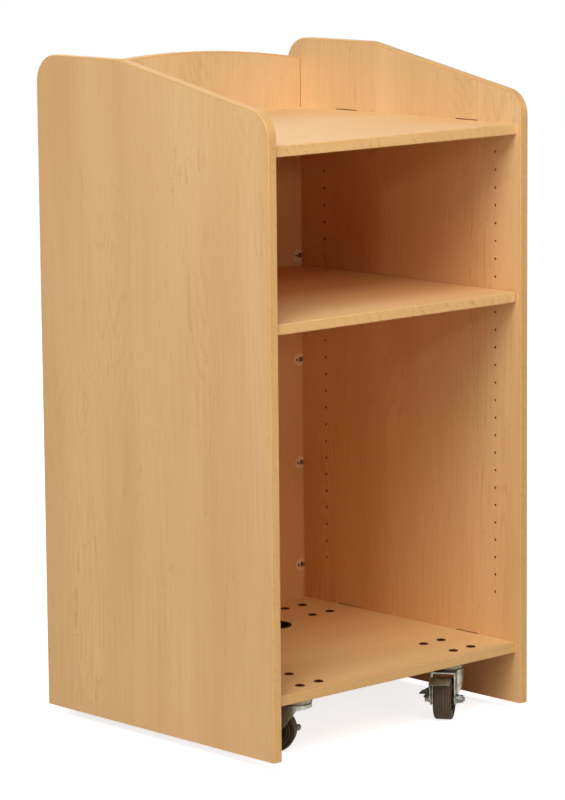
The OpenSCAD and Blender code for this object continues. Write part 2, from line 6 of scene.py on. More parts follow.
import bmesh
import bpy
import numpy as np
from mathutils import Matrix, Vector


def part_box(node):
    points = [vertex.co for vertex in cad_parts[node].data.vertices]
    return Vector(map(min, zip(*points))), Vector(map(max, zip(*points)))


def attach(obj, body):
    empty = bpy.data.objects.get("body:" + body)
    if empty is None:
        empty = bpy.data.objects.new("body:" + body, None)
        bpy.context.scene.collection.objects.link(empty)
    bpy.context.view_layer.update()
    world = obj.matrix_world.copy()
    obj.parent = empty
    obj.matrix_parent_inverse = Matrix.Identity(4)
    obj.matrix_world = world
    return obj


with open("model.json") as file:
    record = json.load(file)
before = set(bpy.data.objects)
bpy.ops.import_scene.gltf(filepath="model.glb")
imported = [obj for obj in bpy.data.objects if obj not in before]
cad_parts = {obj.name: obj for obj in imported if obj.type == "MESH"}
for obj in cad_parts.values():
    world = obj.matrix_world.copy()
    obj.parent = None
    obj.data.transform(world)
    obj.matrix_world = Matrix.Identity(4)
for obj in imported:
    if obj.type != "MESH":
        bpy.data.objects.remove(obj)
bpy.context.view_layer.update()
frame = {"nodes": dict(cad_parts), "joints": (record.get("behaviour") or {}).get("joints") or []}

NODES = frame["nodes"]
JOINTS = {joint["name"]: joint for joint in frame["joints"]}
CORNERS = ("front_left", "front_right", "rear_left", "rear_right")
AXES = "XYZ"


# Sizes and levels taken from the solids, in metres


def height_of(node, share):
    """The height at a share of the way from a node's lowest point, 0, to its highest, 1."""
    low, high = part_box(node)
    return low.z + share * (high.z - low.z)


def axle_reach(node):
    """How far one of the front left caster's nodes reaches along the axle, and out from the axle's line.

    With p from the wheel's centre and a along the axle, they are the greatest p . a and |p - (p . a) a|, to
    the nearest hundredth of a millimetre.
    """
    joint = JOINTS["wheel_spin_front_left"]
    mesh = NODES[node + "_front_left"].data
    points = np.empty(3 * len(mesh.vertices))
    mesh.vertices.foreach_get("co", points)
    points = points.reshape(-1, 3) - joint["pos_m"]
    along = points @ np.array(joint["axis"])
    out = np.linalg.norm(points - np.outer(along, joint["axis"]), axis=1)
    return round(float(along.max()), 5), round(float(out.max()), 5)


DESK_MIDDLE = height_of("desk_top", 0.5)
SHELF_UNDERSIDE = height_of("adjustable_shelf", 0.0)
BOTTOM_MIDDLE = height_of("bottom_shelf", 0.5)
BOTTOM_FACE = height_of("bottom_shelf", 1.0)
BACK_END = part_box("back_panel")[1].x
CASTER_BOLT_END = height_of("caster_bolts", 0.0)

TYRE_SIDE, WHEEL_R = axle_reach("tyre")
HUB_R = axle_reach("wheel_hub")[1]
SLEEVE_R = axle_reach("axle_sleeve")[1]
AXLE_END = axle_reach("axle_bolt")[0]

# Caster bolts round each swivel, and the steps back from the tyre's side to the hub's rim and to its web
BOLT_X = 0.0445
BOLT_Y = 0.0755
RIM_SIDE = TYRE_SIDE - 0.0015
WEB_SIDE = TYRE_SIDE - 0.0055


# Colour and node helpers


def srgb(r, g, b):
    """Linear colour with alpha from 0-255 display values: ((c + 0.055) / 1.055) ** 2.4."""
    out = []
    for c in (r, g, b):
        c /= 255.0
        out.append(c / 12.92 if c <= 0.04045 else ((c + 0.055) / 1.055) ** 2.4)
    return (*out, 1.0)


class Graph:
    """A short way to add and link nodes in one tree."""

    def __init__(self, tree):
        self.tree = tree

    def feed(self, socket, value):
        """Link another socket to this one, or set its own value."""
        if isinstance(value, bpy.types.NodeSocket):
            self.tree.links.new(value, socket)
        else:
            socket.default_value = value

    def put(self, kind, inputs=None, **props):
        node = self.tree.nodes.new(kind)
        for key, value in props.items():
            setattr(node, key, value)
        for key, value in (inputs or {}).items():
            self.feed(node.inputs[key], value)
        return node

    def where(self, kind):
        """Texture coordinates of one kind, such as Object or Normal."""
        return self.put("ShaderNodeTexCoord").outputs[kind]

    def parts(self, vector):
        """X, Y and Z of a vector."""
        return self.put("ShaderNodeSeparateXYZ", {0: vector}).outputs

    def channels(self, color):
        """Red, green and blue of a colour."""
        return self.put("ShaderNodeSeparateColor", {0: color}).outputs

    def joined(self, inputs):
        """A vector from some of X, Y and Z, given by number."""
        return self.put("ShaderNodeCombineXYZ", inputs).outputs[0]

    def math(self, op, a, b=0.0, c=0.0, clamp=False):
        return self.put("ShaderNodeMath", {0: a, 1: b, 2: c}, operation=op, use_clamp=clamp).outputs[0]

    def times(self, first, *others):
        """The product of two or more values."""
        for other in others:
            first = self.math("MULTIPLY", first, other)
        return first

    def plus(self, a, b):
        return self.math("ADD", a, b)

    def vector_math(self, op, a, b=(0.0, 0.0, 0.0)):
        outputs = self.put("ShaderNodeVectorMath", {0: a, 1: b}, operation=op).outputs
        return outputs["Value" if op in ("LENGTH", "DOT_PRODUCT") else "Vector"]

    def mapped(self, value, low, high, to_low=0.0, to_high=1.0, smooth=True):
        """The value carried from one range to another and held at its ends, by an S curve or a line."""
        curve = "SMOOTHSTEP" if smooth else "LINEAR"
        inputs = {0: value, 1: low, 2: high, 3: to_low, 4: to_high}
        return self.put("ShaderNodeMapRange", inputs, interpolation_type=curve).outputs[0]

    def noise(self, vector, scale=1.0, detail=2.0, roughness=0.5):
        inputs = {"Vector": vector, "Scale": scale, "Detail": detail, "Roughness": roughness}
        return self.put("ShaderNodeTexNoise", inputs).outputs[0]

    def stretch(self, vector, scale, shift=(0.0, 0.0, 0.0)):
        inputs = {"Vector": vector, "Location": shift, "Scale": scale}
        return self.put("ShaderNodeMapping", inputs).outputs[0]

    def mix(self, factor, a, b, blend="MIX"):
        """Two colours mixed, or blended in another way. Sockets 6 and 7 are the colours A and B."""
        inputs = {0: factor, 6: a, 7: b}
        return self.put("ShaderNodeMix", inputs, data_type="RGBA", blend_type=blend).outputs[2]

    def mix_vectors(self, factor, a, b):
        """Two vectors mixed. Sockets 4 and 5 are the vectors A and B."""
        return self.put("ShaderNodeMix", {0: factor, 4: a, 5: b}, data_type="VECTOR").outputs[1]

    def bump(self, height, distance, strength, normal=None):
        inputs = {"Height": height, "Distance": distance, "Strength": strength}
        if normal is not None:
            inputs["Normal"] = normal
        return self.put("ShaderNodeBump", inputs).outputs[0]

    def group(self, tree, inputs):
        """The outputs of a node group with these inputs."""
        return self.put("ShaderNodeGroup", inputs, node_tree=tree).outputs

    def soft_edges(self, radius):
        """Normals that round an edge off by a small radius."""
        return self.put("ShaderNodeBevel", {"Radius": radius}, samples=4).outputs[0]


def new_group(name, sockets_in, sockets_out):
    """A shader node group with the named sockets: its graph, and its input and output nodes."""
    tree = bpy.data.node_groups.new(name, "ShaderNodeTree")
    for label, kind, value in sockets_in:
        socket = tree.interface.new_socket(name=label, in_out="INPUT", socket_type=kind)
        if value is not None:
            socket.default_value = value
    for label, kind in sockets_out:
        tree.interface.new_socket(name=label, in_out="OUTPUT", socket_type=kind)
    g = Graph(tree)
    return g, g.put("NodeGroupInput"), g.put("NodeGroupOutput")


def emptied(owner):
    """The graph of a material or a world, with no nodes in it."""
    owner.use_nodes = True
    owner.node_tree.nodes.clear()
    return Graph(owner.node_tree)


def new_material(name):
    """A material with its graph and its Principled BSDF."""
    material = bpy.data.materials.new(name)
    g = emptied(material)
    shader = g.put("ShaderNodeBsdfPrincipled")
    g.put("ShaderNodeOutputMaterial", {"Surface": shader.outputs[0]})
    return material, g, shader


def finish(g, shader, color, roughness, normal, **constants):
    """Feed the shader. A constant such as Specular_IOR_Level is set on the socket of that name."""
    g.feed(shader.inputs["Base Color"], color)
    g.feed(shader.inputs["Roughness"], roughness)
    g.feed(shader.inputs["Normal"], normal)
    for key, value in constants.items():
        shader.inputs[key.replace("_", " ")].default_value = value


# Wood

# Marks in the maple: how many, how far a hairline jogs in metres, and how dark each kind is
GROWTH_LINES = 30
HAIRLINES_PER_METRE = 60.0
HAIRLINE_JOG = 0.020
FIBRE_DEPTH = 0.08
STREAK_DEPTH = 0.07
GROWTH_LINE_DEPTH = 0.11
HAIRLINE_DEPTH = 0.22
FLECK_DEPTH = 0.42
BAND_FIGURE = {"Figure": 0.5, "Fleck": 0.3, "Hairline": 0.2}

# Features to the metre, and depths of relief in metres
CHIPS = 420.0
CHIP_GAPS = 900.0
SKIN_PEEL = 260.0
CORE_RELIEF = 0.0004
SKIN_RELIEF = 0.00004
BAND_RELIEF = 0.00005


def growth_lines(g, place):
    """Arched lines in some patches: contours of a noise field that is stretched along the grain."""
    field = g.noise(g.stretch(place, (1.5, 9.0, 9.0)), roughness=0.35)
    wave = g.math("SINE", g.times(field, 2 * math.pi * GROWTH_LINES))
    arches = g.math("POWER", g.math("MULTIPLY_ADD", wave, 0.5, 0.5), 5.0)
    patch = g.mapped(g.noise(g.stretch(place, (2.0, 7.0, 7.0), (9.0, 2.0, 4.0)), detail=1.0), 0.48, 0.70)
    return g.times(arches, patch)


def hairlines(g, flat, place, spot):
    """Ragged lines along the grain, 10 to 20 mm apart, in rare patches and round one spot.

    A line lies where 60 (y + jog) + spread is half way between two whole numbers. The jog steps sideways
    where a rough noise field crosses its middle value, and spread makes the distances uneven.
    """
    rough_field = g.noise(g.stretch(place, (7.0, 20.0, 20.0), (2.0, 6.0, 1.0)), detail=4.0, roughness=0.55)
    jog = g.times(g.mapped(rough_field, 0.44, 0.56), HAIRLINE_JOG)
    spread = g.times(g.noise(g.stretch(flat, (0.8, 34.0, 34.0), (2.0, 9.0, 4.0)), detail=1.0), 2.4)
    across = g.plus(g.parts(place)[1], jog)
    level = g.math("FRACT", g.math("MULTIPLY_ADD", across, HAIRLINES_PER_METRE, spread))
    line = g.mapped(g.math("ABSOLUTE", g.math("SUBTRACT", level, 0.5)), 0.03, 0.085, 1.0, 0.0)
    patch = g.mapped(g.noise(g.stretch(flat, (4.0, 12.0, 12.0), (7.0, 1.0, 3.0)), detail=1.0), 0.55, 0.64)
    away = g.vector_math("LENGTH", g.stretch(g.vector_math("SUBTRACT", flat, spot), (3.2, 20.0, 0.0)))
    near_spot = g.times(g.mapped(away, 0.7, 1.1, 1.0, 0.0), 1.25)
    gaps = g.mapped(g.noise(g.stretch(flat, (22.0, 40.0, 40.0)), detail=1.0), 0.36, 0.54)
    return g.times(line, gaps, g.math("MAXIMUM", patch, near_spot))


def dark_flecks(g, flat, place):
    """Short dark flecks: one in some cells of a stretched and slightly bent Voronoi grid."""
    bend = g.math("MULTIPLY_ADD", g.noise(g.stretch(flat, (60.0, 30.0, 30.0)), detail=1.0), 0.008, -0.004)
    bent = g.vector_math("ADD", place, g.joined({1: bend}))
    cells = g.put("ShaderNodeTexVoronoi", {"Vector": g.stretch(bent, (9.0, 85.0, 85.0)), "Scale": 1.0},
                  voronoi_dimensions="2D").outputs
    chance = g.channels(cells["Color"])
    beds = g.noise(g.stretch(flat, (3.0, 11.0, 11.0), (4.0, 4.0, 4.0)), detail=1.0)
    picked = g.mapped(g.plus(chance[0], beds), 1.22, 1.28)
    size = g.math("MULTIPLY_ADD", chance[1], 0.055, 0.030)
    near = g.math("DIVIDE", cells["Distance"], size)
    return g.times(g.mapped(near, 0.4, 1.0, 1.0, 0.0), picked)


def maple_group():
    """Maple figure on a flat face. The grain runs along X of its vector and Y runs across it, in metres.

    Fine straight lines and broad, faint changes of tone make the ground. Growth lines, hairlines and flecks
    lie over it. Figure, Fleck and Hairline give their strength, and Spot is a place where hairlines gather.
    """
    g, i, o = new_group(
        "maple_figure",
        [("Vector", "NodeSocketVector", None), ("Light", "NodeSocketColor", (1, 1, 1, 1)),
         ("Mid", "NodeSocketColor", (1, 1, 1, 1)), ("Dark", "NodeSocketColor", (0, 0, 0, 1)),
         ("Figure", "NodeSocketFloat", 1.0), ("Fleck", "NodeSocketFloat", 1.0),
         ("Hairline", "NodeSocketFloat", 1.0), ("Spot", "NodeSocketVector", (-9.0, -9.0, 0.0))],
        [("Color", "NodeSocketColor"), ("Roughness", "NodeSocketFloat"), ("Height", "NodeSocketFloat")],
    )
    given = i.outputs
    flat = given["Vector"]
    wander = g.noise(g.stretch(flat, (2.2, 5.0, 5.0), (3.1, 0.7, 5.3)), detail=1.0)
    shift = g.math("MULTIPLY_ADD", wander, 0.03, -0.015)
    place = g.vector_math("ADD", flat, g.joined({1: shift, 2: shift}))

    streaks = g.noise(g.stretch(place, (3.0, 260.0, 260.0)), roughness=0.6)
    fibres = g.noise(g.stretch(place, (16.0, 700.0, 700.0)), roughness=0.6)
    tone = g.noise(g.stretch(flat, (1.2, 9.0, 9.0), (1.0, 8.0, 2.0)))
    body = g.plus(g.times(streaks, 0.24), g.times(tone, 0.76))
    fine = g.times(g.mapped(streaks, 0.48, 0.66), g.mapped(wander, 0.45, 0.62))

    color = g.mix(g.mapped(body, 0.26, 0.74), given["Light"], given["Mid"])
    for mark, depth in (
        (g.mapped(fibres, 0.42, 0.75), FIBRE_DEPTH),
        (fine, STREAK_DEPTH),
        (g.times(growth_lines(g, place), given["Figure"]), GROWTH_LINE_DEPTH),
        (g.times(hairlines(g, flat, place, given["Spot"]), given["Hairline"]), HAIRLINE_DEPTH),
        (g.times(dark_flecks(g, flat, place), given["Fleck"]), FLECK_DEPTH),
    ):
        color = g.mix(g.times(mark, depth), color, given["Dark"])
    g.feed(o.inputs["Color"], color)
    g.feed(o.inputs["Roughness"], g.math("MULTIPLY_ADD", fibres, 0.10, 0.40))
    g.feed(o.inputs["Height"], g.plus(g.times(fibres, 0.6), g.times(streaks, 0.4)))
    return g.tree


def core_group():
    """Particle board, as it shows inside holes, slots and on raw edges."""
    g, i, o = new_group(
        "particle_core",
        [("Vector", "NodeSocketVector", None)],
        [("Color", "NodeSocketColor"), ("Height", "NodeSocketFloat")],
    )
    place = i.outputs["Vector"]
    cells = g.put("ShaderNodeTexVoronoi", {"Vector": g.stretch(place, (1.0, 1.0, 2.2)), "Scale": CHIPS})
    grey = g.channels(cells.outputs["Color"])[0]
    gaps = g.mapped(g.noise(place, CHIP_GAPS), 0.55, 0.8)
    color = g.mix(grey, srgb(150, 108, 66), srgb(205, 164, 112))
    g.feed(o.inputs["Color"], g.mix(gaps, color, srgb(92, 60, 34)))
    g.feed(o.inputs["Height"], grey)
    return g.tree


# Painted light and shade tints, and where each of them and the joint's painted shade line starts and is
# full: heights, and places along Y, in metres
PLAIN = (1.0, 1.0, 1.0, 1.0)
DEEP_BELOW_SHELF = (1.08, 0.96, 0.83, 1.0)
DEEP_ABOVE_SHELF = (1.06, 0.90, 0.79, 1.0)
WALLS_OVER_DESK = (0.985, 1.10, 1.24, 1.0)
DESK_SURFACE = (1.0, 1.02, 1.03, 1.0)
UNDER_BOTTOM_SHELF = (0.90, 0.70, 0.58, 1.0)
DEEP_FROM_TO = (-0.34, 0.06)
SHELF_FROM_TO = (SHELF_UNDERSIDE - 0.005, SHELF_UNDERSIDE + 0.003)
DESK_FROM_TO = (DESK_MIDDLE - 0.002, DESK_MIDDLE + 0.001)
BOTTOM_FROM_TO = (BOTTOM_MIDDLE + 0.0005, BOTTOM_MIDDLE + 0.0065)
BOTTOM_DEEP_FROM_TO = (-0.31, -0.21)
JOINT_SHADE_FROM_TO = (DESK_MIDDLE - 0.016, DESK_MIDDLE + 0.004)


def tint_group():
    """A colour to multiply by: paler over the desk, redder deep inside and under the bottom shelf.

    It acts on the faces that look into the cabinet, and stays white on the others. Place and Normal are in
    the object's coordinates, in metres, with the open side at the lower end of Y.
    """
    g, i, o = new_group(
        "light_and_shade_tint",
        [("Place", "NodeSocketVector", None), ("Normal", "NodeSocketVector", None)],
        [("Color", "NodeSocketColor")],
    )
    place = g.parts(i.outputs["Place"])
    normal = g.parts(i.outputs["Normal"])
    upright = g.math("ABSOLUTE", normal[2])
    to_middle = g.times(normal[0], g.math("SIGN", place[0]), -1.0)
    inward = g.math("MAXIMUM", g.math("MAXIMUM", to_middle, g.times(normal[1], -1.0)), upright)

    deep = g.mapped(place[1], *DEEP_FROM_TO, smooth=False)
    over_shelf = g.mapped(place[2], *SHELF_FROM_TO)
    over_desk = g.mapped(place[2], *DESK_FROM_TO)
    low_down = g.mapped(place[2], *BOTTOM_FROM_TO, 1.0, 0.0)
    under_bottom = g.times(low_down, g.mapped(place[1], *BOTTOM_DEEP_FROM_TO))
    color = g.mix(deep, PLAIN, g.mix(over_shelf, DEEP_BELOW_SHELF, DEEP_ABOVE_SHELF))
    color = g.mix(over_desk, color, g.mix(g.mapped(upright, 0.4, 0.6), WALLS_OVER_DESK, DESK_SURFACE))
    color = g.mix(under_bottom, color, UNDER_BOTTOM_SHELF)
    g.feed(o.inputs["Color"], g.mix(g.mapped(inward, 0.4, 0.6), PLAIN, color))
    return g.tree


MAPLE = maple_group()
CORE = core_group()
TINT = tint_group()


def grain_vector(g, order, shift):
    """Object coordinates with their axes in the given order, such as ZYX where the grain runs along Z."""
    parts = g.parts(g.where("Object"))
    turned = g.joined({k: parts[AXES.index(axis)] for k, axis in enumerate(order)})
    return g.stretch(turned, (1.0, 1.0, 1.0), shift)


def facing(g, axis):
    """1 where the surface faces along that axis of the object, and 0 elsewhere."""
    along = g.parts(g.where("Normal"))[AXES.index(axis)]
    return g.mapped(g.math("ABSOLUTE", along), 0.6, 0.8)


def board_material(name, order, face, shift, light, mid, dark, joint=None, **amounts):
    """Maple laminate on the faces along one axis, and bare core everywhere else.

    joint is the distance from the middle, along X, at which a thin dark line of painted shade, for the gap
    at the joint, starts.
    """
    material, g, shader = new_material(name)
    place = g.where("Object")
    figure = {"Vector": grain_vector(g, order, shift), "Light": light, "Mid": mid, "Dark": dark, **amounts}
    wood = g.group(MAPLE, figure)
    core = g.group(CORE, {"Vector": place})
    tint = g.group(TINT, {"Place": place, "Normal": g.where("Normal")})[0]
    skin = facing(g, face)
    color = g.mix(skin, core["Color"], g.mix(1.0, wood["Color"], tint, "MULTIPLY"))
    # Painted shade of the gap at the joint: a thin dark line at both ends of the board along X, darker above
    # the desk
    if joint is not None:
        parts = g.parts(place)
        line = g.math("GREATER_THAN", g.math("ABSOLUTE", parts[0]), joint)
        line = g.times(line, g.mapped(parts[2], *JOINT_SHADE_FROM_TO, 0.2, 0.75))
        color = g.mix(line, color, srgb(84, 44, 20))
    rough = g.math("MULTIPLY_ADD", wood["Roughness"], 0.25, g.math("MULTIPLY_ADD", skin, -0.42, 0.85))
    skin_height = g.math("MULTIPLY_ADD", g.noise(place, SKIN_PEEL), 0.5, wood["Height"])
    rough_normal = g.bump(core["Height"], CORE_RELIEF, 0.6)
    normal = g.mix_vectors(skin, rough_normal, g.bump(skin_height, SKIN_RELIEF, 0.5))
    finish(g, shader, color, rough, normal, IOR=1.46, Specular_IOR_Level=0.25)
    return material


def band_material(name, order, shift, light, mid, dark, depth=0.18, level_order=None):
    """Edge band with a scaly figure: thin curved strokes across its length, each shaded on one side.

    With x along the band and y across it, a stroke lies where 46 x + 30 y + 2 noise is a whole number.
    depth is how dark the strokes are, and level_order gives the axes for its level stretches. Faces that
    look up are a little darker: painted shade.
    """
    material, g, shader = new_material(name)
    v = grain_vector(g, order, shift)
    if level_order:
        v = g.mix_vectors(facing(g, "Z"), v, grain_vector(g, level_order, shift))
    figure = {"Vector": v, "Light": light, "Mid": mid, "Dark": dark, **BAND_FIGURE}
    wood = g.group(MAPLE, figure)
    along, across = g.parts(v)[:2]
    warp = g.noise(g.stretch(v, (24.0, 34.0, 20.0)), detail=1.0, roughness=0.4)
    count = g.plus(g.times(along, 46.0), g.times(across, 30.0))
    ramp = g.math("FRACT", g.math("MULTIPLY_ADD", warp, 2.0, count))
    stroke = g.times(g.mapped(ramp, 0.88, 0.95), g.mapped(ramp, 0.965, 0.995, 1.0, 0.0))
    shade = g.math("POWER", ramp, 2.5)
    patch = g.mapped(g.noise(g.stretch(v, (16.0, 60.0, 20.0), (5.0, 1.0, 2.0)), detail=1.0), 0.40, 0.58)
    amount = g.plus(g.times(stroke, depth), g.times(shade, depth * 0.4))
    color = g.mix(g.times(amount, patch), wood["Color"], dark)
    blotch = g.mapped(g.noise(g.stretch(v, (40.0, 90.0, 90.0)), detail=3.0), 0.50, 0.75)
    color = g.mix(g.times(blotch, 0.10), color, mid)
    # Painted shade: faces that look up are darkened a little
    painted_shade_on_top = g.mapped(g.parts(g.where("Normal"))[2], 0.4, 0.8)
    color = g.mix(painted_shade_on_top, color, g.mix(1.0, color, (0.87, 0.87, 0.88, 1.0), "MULTIPLY"))
    rough = g.plus(wood["Roughness"], 0.06)
    normal = g.bump(wood["Height"], BAND_RELIEF, 0.5)
    finish(g, shader, color, rough, normal, IOR=1.47, Specular_IOR_Level=0.36)
    return material


# Metal, plastic and rubber

# Features to the metre, depths of relief in metres, and the radius of softened edges in metres
METAL_CLOUDS = 60.0
METAL_GRIT = 1400.0
METAL_SCRATCHES = 320.0
PLASTIC_SCUFFS = 70.0
PLASTIC_SPARK = 900.0
TREAD_LINES = 420.0
TYRE_DUST = 120.0
METAL_RELIEF = 0.00005
PLASTIC_RELIEF = 0.00006
TYRE_RELIEF = 0.00015
PLAIN_EDGE = 0.0006
NUT_EDGE = 0.0007
SHEET_EDGE = 0.0008
PLASTIC_EDGE = 0.0005
TREAD_FADE = 0.0015


def metal_material(name, bright, dull, rough_low, rough_high, metallic=1.0, edge=PLAIN_EDGE, sheen=0.5):
    """Plated or bare metal: cloudy tone, fine scratches and softened edges."""
    material, g, shader = new_material(name)
    place = g.where("Object")
    cloud = g.noise(place, METAL_CLOUDS, 4.0, 0.6)
    grit = g.mapped(g.noise(place, METAL_GRIT), 0.62, 0.8)
    scratches = g.noise(g.stretch(place, (1.0, 1.0, 14.0)), METAL_SCRATCHES, 3.0)
    color = g.mix(g.mapped(cloud, 0.35, 0.7), bright, dull)
    color = g.mix(g.times(grit, 0.35), color, dull)
    wear = g.plus(g.times(cloud, 0.6), g.times(scratches, 0.4))
    rough = g.mapped(wear, 0.3, 0.7, rough_low, rough_high, smooth=False)
    normal = g.bump(g.times(scratches, 0.5), METAL_RELIEF, 0.6, g.soft_edges(edge))
    finish(g, shader, color, rough, normal, Metallic=metallic, Specular_IOR_Level=sheen)
    return material


def plastic_material(name, base, worn, rough, sheen=0.45):
    """Moulded plastic with a fine spark texture and faint scuffs."""
    material, g, shader = new_material(name)
    place = g.where("Object")
    scuff = g.mapped(g.noise(place, PLASTIC_SCUFFS, 4.0, 0.65), 0.55, 0.75)
    color = g.mix(g.times(scuff, 0.5), base, worn)
    roughness = g.math("MULTIPLY_ADD", scuff, 0.12, rough)
    normal = g.bump(g.noise(place, PLASTIC_SPARK), PLASTIC_RELIEF, 0.6, g.soft_edges(PLASTIC_EDGE))
    finish(g, shader, color, roughness, normal, IOR=1.5, Specular_IOR_Level=sheen)
    return material


def tyre_material(corner):
    """Grey-brown rubber. The tread's fine turned lines and its colour end a little way down each side."""
    material, g, shader = new_material("tyre_" + corner)
    joint = JOINTS["wheel_spin_" + corner]
    place = g.where("Object")
    from_centre = g.vector_math("SUBTRACT", place, joint["pos_m"])
    across = g.vector_math("DOT_PRODUCT", from_centre, joint["axis"])
    lines = g.mapped(g.noise(g.joined({0: across}), TREAD_LINES, 3.0, 0.6), 0.36, 0.64)
    dust = g.noise(place, TYRE_DUST, 5.0, 0.65)
    tread = g.mapped(g.vector_math("LENGTH", from_centre), WHEEL_R - TREAD_FADE, WHEEL_R)
    side = g.mix(g.mapped(dust, 0.35, 0.7), srgb(46, 38, 30), srgb(62, 51, 41))
    worn = g.mix(lines, srgb(66, 52, 39), srgb(108, 91, 72))
    color = g.mix(tread, side, g.mix(g.times(dust, 0.3), worn, srgb(50, 40, 31)))
    rough = g.mapped(dust, 0.3, 0.7, 0.55, 0.8, smooth=False)
    relief = g.plus(g.times(lines, 0.7), g.times(dust, 0.5))
    normal = g.bump(relief, TYRE_RELIEF, 0.6)
    finish(g, shader, color, rough, normal, IOR=1.5, Specular_IOR_Level=0.16)
    return material


# Finishes of this lectern

# Light, middle and dark tone of each wood. The desk's and shelf's bands take the band's tones made lighter,
# as painted light
MARKS = srgb(172, 114, 38)
BAND_MARKS = srgb(158, 102, 38)
BOARD = (srgb(233, 190, 135), srgb(221, 174, 118), MARKS)
DESK = (srgb(229, 185, 132), srgb(222, 176, 121), MARKS)
BOTTOM = (srgb(229, 192, 137), srgb(216, 175, 120), MARKS)
BEECH = (srgb(214, 170, 118), srgb(200, 152, 100), MARKS)
BAND = (srgb(228, 181, 118), srgb(216, 166, 102), BAND_MARKS)
# The band's tones lightened as painted light, for the desk's and shelf's bands
BAND_WITH_PAINTED_LIGHT = (srgb(240, 191, 127), srgb(230, 178, 112), BAND_MARKS)

# Where hairlines gather on the side panels, in their patterns, and the width of the joint's painted shade
# line in metres
LEFT_SPOT = (0.16, 0.18, 0.0)
RIGHT_SPOT = (3.36, 1.105, 0.4)
JOINT_GAP = 0.0014


def upright_board(name, order, face, shift, **amounts):
    return board_material(name, order, face, shift, *BOARD, **amounts)


def level_board(name, shift, tones, fleck, hairline):
    return board_material(name, "XYZ", "Z", shift, *tones, Figure=0.5, Fleck=fleck, Hairline=hairline)


# A shift moves the wood's pattern, so that each board has its own
maple_left = upright_board("maple_left_side", "ZYX", "X", (0.0, 0.0, 0.0), Spot=LEFT_SPOT)
maple_right = upright_board("maple_right_side", "ZYX", "X", (2.7, 1.3, 0.4), Spot=RIGHT_SPOT, Figure=1.7)
maple_back = upright_board("maple_back", "ZXY", "Y", (5.2, 0.6, 1.7), joint=BACK_END - JOINT_GAP)
maple_desk = level_board("maple_desk", (1.4, 3.6, 0.2), DESK, 0.3, 0.3)
maple_shelf = level_board("maple_shelf", (7.4, 2.2, 0.9), BOARD, 0.4, 0.3)
maple_bottom = level_board("maple_bottom", (3.3, 5.1, 2.6), BOTTOM, 0.5, 0.4)
beech = board_material("beech_tongue", "YXZ", "Z", (0.0, 2.0, 0.0), *BEECH)

band_side = band_material("band_side", "ZXY", (0.3, 1.1, 0.0), *BAND, level_order="YXZ")
band_back = band_material("band_back", "XYZ", (2.3, 0.4, 1.2), *BAND)
band_desk = band_material("band_desk", "XZY", (4.2, 2.5, 0.3), *BAND_WITH_PAINTED_LIGHT, depth=0.30)
band_shelf = band_material("band_shelf", "XZY", (6.6, 1.9, 2.1), *BAND_WITH_PAINTED_LIGHT, depth=0.30)
band_bottom = band_material("band_bottom", "XZY", (8.1, 3.1, 1.4), *BAND, depth=0.11)

zinc = metal_material("zinc_plate", srgb(178, 178, 162), srgb(124, 124, 110), 0.30, 0.50, edge=SHEET_EDGE)
nut_zinc = metal_material("zinc_nuts", srgb(146, 147, 136), srgb(92, 92, 84), 0.26, 0.48, edge=NUT_EDGE)
plate_zinc = metal_material("zinc_top_plate", srgb(142, 132, 110), srgb(98, 90, 72), 0.30, 0.52)
lever_zinc = metal_material("lever_zinc", srgb(184, 176, 152), srgb(132, 124, 102), 0.38, 0.58,
                            metallic=0.55, edge=SHEET_EDGE)
steel = metal_material("plain_steel", srgb(178, 178, 178), srgb(128, 126, 122), 0.25, 0.45)
bronze = metal_material("bronze_heads", srgb(76, 31, 6), srgb(48, 19, 4), 0.62, 0.80,
                        metallic=0.1, sheen=0.08)

ivory = plastic_material("ivory_housing", srgb(244, 202, 152), srgb(228, 182, 132), 0.42)
black = plastic_material("black_moulding", srgb(20, 16, 14), srgb(36, 30, 26), 0.5)
grommet_black = plastic_material("grommet_moulding", srgb(34, 14, 7), srgb(48, 24, 14), 0.55, sheen=0.12)
hub_grey = plastic_material("hub_moulding", srgb(52, 41, 31), srgb(76, 61, 47), 0.55, sheen=0.15)
ring_brown = plastic_material("wheel_rings", srgb(118, 94, 74), srgb(140, 116, 94), 0.5, sheen=0.2)

LOOK = {
    "side_panel_left": maple_left, "side_panel_right": maple_right, "back_panel": maple_back,
    "desk_top": maple_desk, "adjustable_shelf": maple_shelf, "bottom_shelf": maple_bottom,
    "side_band_left": band_side, "side_band_right": band_side, "back_band": band_back,
    "desk_band": band_desk, "shelf_band": band_shelf, "bottom_band": band_bottom,
    "support_tongues": beech, "shelf_wires": steel, "connector_housings": ivory,
    "connector_clamps": nut_zinc, "connector_screws": bronze, "connector_bolts": steel,
    "cord_grommet": grommet_black, "caster_bolts": bronze, "caster_nuts": nut_zinc, "kingpins": steel,
    "raceway_balls": steel,
}
for corner in CORNERS:
    LOOK.update({
        "caster_plate_" + corner: plate_zinc, "fork_" + corner: zinc, "axle_bolt_" + corner: nut_zinc,
        "axle_sleeve_" + corner: steel, "wheel_hub_" + corner: hub_grey,
        "tyre_" + corner: tyre_material(corner),
        "brake_lever_" + corner: lever_zinc, "brake_tabs_" + corner: black, "brake_rivet_" + corner: steel,
    })
for name, material in LOOK.items():
    for slot in NODES[name].material_slots:
        slot.material = material


# Small fittings, in metres

SMOOTH_ANGLE = 35.0
DOUBLES = 1e-7

# Steps round a full turn, and along one pitch of a thread
RIB_STEPS = 12
WEB_STEPS = 48
RING_STEPS = 64
TYRE_STEPS = 72
CROWN_STEPS = 40
AXLE_STEPS = 28
BOLT_STEPS = 20
PITCH_STEPS = 6

